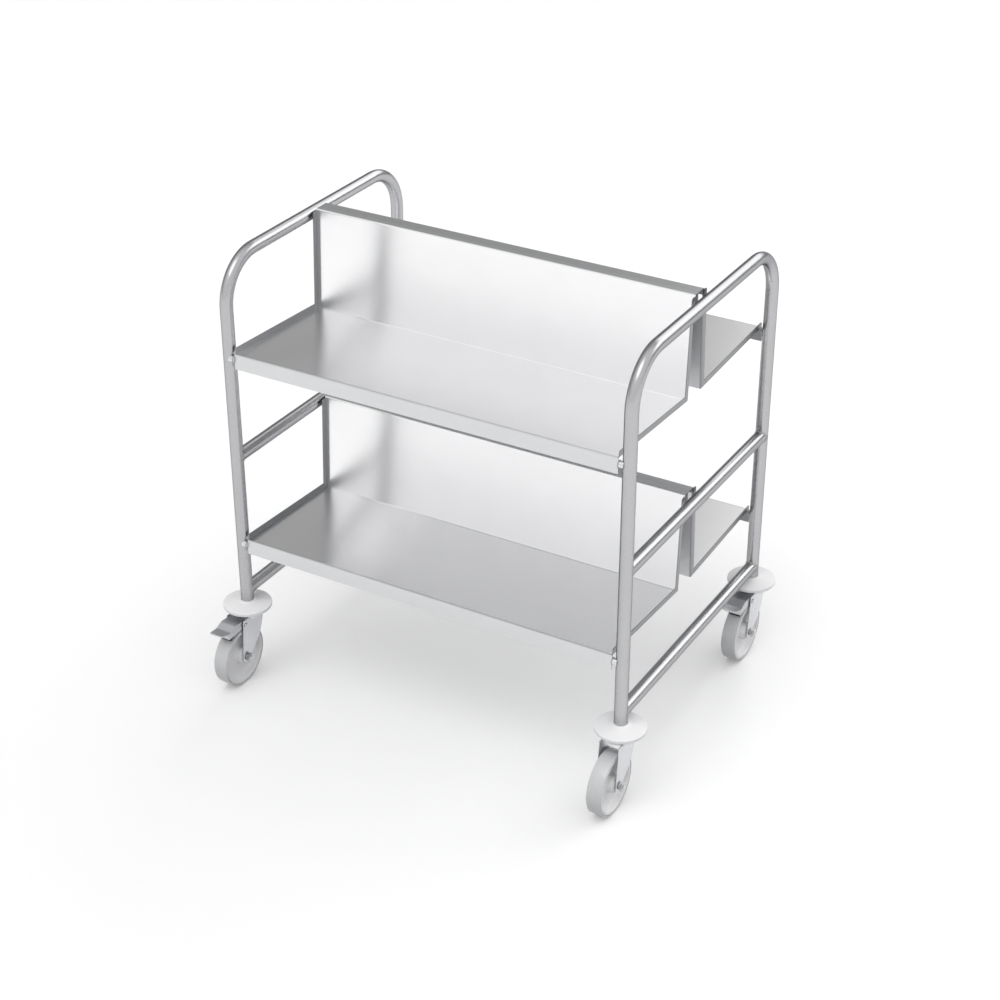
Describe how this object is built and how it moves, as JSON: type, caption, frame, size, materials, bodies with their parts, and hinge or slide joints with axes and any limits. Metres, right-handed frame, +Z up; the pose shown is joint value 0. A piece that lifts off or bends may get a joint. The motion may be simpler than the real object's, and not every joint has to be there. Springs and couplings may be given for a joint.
{
  "type": "plate trolley",
  "caption": "Two-tier stainless plate trolley: sloping trays back to back against a central spine, bent-tube end frames, swivel casters with buffer discs and brakes.",
  "frame": {"origin": "on the floor, under the middle of the bounding box", "axes": "+X to the trolley's right along its length, -Y to its front, +Z up"},
  "size_m": [0.929, 0.7376, 0.9069],
  "materials": {
    "stainless_tube": "polished round tube",
    "stainless_sheet": "satin sheet",
    "zinc_steel": "zinc plated pressings",
    "bright_steel": "bright turned steel",
    "bumper_plastic": "pale smooth moulding",
    "core_plastic": "grey moulding",
    "tyre_rubber": "grey non-marking rubber",
    "shoe_rubber": "dark rubber"
  },
  "bodies": {
    "frame": {"left_frame_tube": "stainless_tube", "left_mid_bar": "stainless_tube", "left_low_bar": "stainless_tube", "right_frame_tube": "stainless_tube", "right_mid_bar": "stainless_tube", "right_low_bar": "stainless_tube", "lower_front_tray": "stainless_sheet", "lower_front_left_stud": "bright_steel", "lower_front_right_stud": "bright_steel", "lower_rear_tray": "stainless_sheet", "lower_rear_left_stud": "bright_steel", "lower_rear_right_stud": "bright_steel", "upper_front_tray": "stainless_sheet", "upper_front_left_stud": "bright_steel", "upper_front_right_stud": "bright_steel", "upper_rear_tray": "stainless_sheet", "upper_rear_left_stud": "bright_steel", "upper_rear_right_stud": "bright_steel", "front_left_bumper": "bumper_plastic", "front_left_stem": "zinc_steel", "front_right_bumper": "bumper_plastic", "front_right_stem": "zinc_steel", "rear_left_bumper": "bumper_plastic", "rear_left_stem": "zinc_steel", "rear_right_bumper": "bumper_plastic", "rear_right_stem": "zinc_steel"},
    "caster_front_left": {"front_left_ball_race": "bright_steel", "front_left_fork": "zinc_steel", "front_left_axle_bolt": "bright_steel", "front_left_axle_nut": "bright_steel", "front_left_axle_sleeve": "bright_steel", "front_left_brake_pin": "bright_steel"},
    "wheel_front_left": {"front_left_wheel_core": "core_plastic", "front_left_tyre": "tyre_rubber"},
    "pedal_front_left": {"front_left_brake_pedal": "zinc_steel"},
    "shoe_front_left": {"front_left_brake_shoe": "shoe_rubber"},
    "caster_front_right": {"front_right_ball_race": "bright_steel", "front_right_fork": "zinc_steel", "front_right_axle_bolt": "bright_steel", "front_right_axle_nut": "bright_steel", "front_right_axle_sleeve": "bright_steel"},
    "wheel_front_right": {"front_right_wheel_core": "core_plastic", "front_right_tyre": "tyre_rubber"},
    "caster_rear_left": {"rear_left_ball_race": "bright_steel", "rear_left_fork": "zinc_steel", "rear_left_axle_bolt": "bright_steel", "rear_left_axle_nut": "bright_steel", "rear_left_axle_sleeve": "bright_steel"},
    "wheel_rear_left": {"rear_left_wheel_core": "core_plastic", "rear_left_tyre": "tyre_rubber"},
    "caster_rear_right": {"rear_right_ball_race": "bright_steel", "rear_right_fork": "zinc_steel", "rear_right_axle_bolt": "bright_steel", "rear_right_axle_nut": "bright_steel", "rear_right_axle_sleeve": "bright_steel", "rear_right_brake_pin": "bright_steel"},
    "wheel_rear_right": {"rear_right_wheel_core": "core_plastic", "rear_right_tyre": "tyre_rubber"},
    "pedal_rear_right": {"rear_right_brake_pedal": "zinc_steel"},
    "shoe_rear_right": {"rear_right_brake_shoe": "shoe_rubber"}
  },
  "joints": [
    {"name": "front_left_swivel", "type": "hinge", "parent": "frame", "child": "caster_front_left", "pos_m": [-0.416, -0.26175, 0.154], "axis": [0, 0, 1], "continuous": true},
    {"name": "front_left_wheel_spin", "type": "hinge", "parent": "caster_front_left", "child": "wheel_front_left", "pos_m": [-0.416, -0.30175, 0.0625], "axis": [1, 0, 0], "continuous": true},
    {"name": "front_left_brake_pedal_tip", "type": "hinge", "parent": "caster_front_left", "child": "pedal_front_left", "pos_m": [-0.416, -0.29975, 0.136], "axis": [1, 0, 0], "range_deg": [0, 16]},
    {"name": "front_left_brake_shoe_close", "type": "hinge", "parent": "caster_front_left", "child": "shoe_front_left", "pos_m": [-0.416, -0.29975, 0.136], "axis": [1, 0, 0], "range_deg": [0, 2]},
    {"name": "front_right_swivel", "type": "hinge", "parent": "frame", "child": "caster_front_right", "pos_m": [0.416, -0.26175, 0.154], "axis": [0, 0, 1], "continuous": true},
    {"name": "front_right_wheel_spin", "type": "hinge", "parent": "caster_front_right", "child": "wheel_front_right", "pos_m": [0.416, -0.30175, 0.0625], "axis": [1, 0, 0], "continuous": true},
    {"name": "rear_left_swivel", "type": "hinge", "parent": "frame", "child": "caster_rear_left", "pos_m": [-0.416, 0.32025, 0.154], "axis": [0, 0, 1], "continuous": true},
    {"name": "rear_left_wheel_spin", "type": "hinge", "parent": "caster_rear_left", "child": "wheel_rear_left", "pos_m": [-0.416, 0.28025, 0.0625], "axis": [1, 0, 0], "continuous": true},
    {"name": "rear_right_swivel", "type": "hinge", "parent": "frame", "child": "caster_rear_right", "pos_m": [0.416, 0.32025, 0.154], "axis": [0, 0, 1], "continuous": true},
    {"name": "rear_right_wheel_spin", "type": "hinge", "parent": "caster_rear_right", "child": "wheel_rear_right", "pos_m": [0.416, 0.28025, 0.0625], "axis": [1, 0, 0], "continuous": true},
    {"name": "rear_right_brake_pedal_tip", "type": "hinge", "parent": "caster_rear_right", "child": "pedal_rear_right", "pos_m": [0.416, 0.28225, 0.136], "axis": [1, 0, 0], "range_deg": [0, 16]},
    {"name": "rear_right_brake_shoe_close", "type": "hinge", "parent": "caster_rear_right", "child": "shoe_rear_right", "pos_m": [0.416, 0.28225, 0.136], "axis": [1, 0, 0], "range_deg": [0, 2]}
  ],
  "couplings": [
    {"joint": "front_left_brake_shoe_close", "follows": "front_left_brake_pedal_tip", "ratio": 0.1125},
    {"joint": "rear_right_brake_shoe_close", "follows": "rear_right_brake_pedal_tip", "ratio": 0.1125}
  ]
}
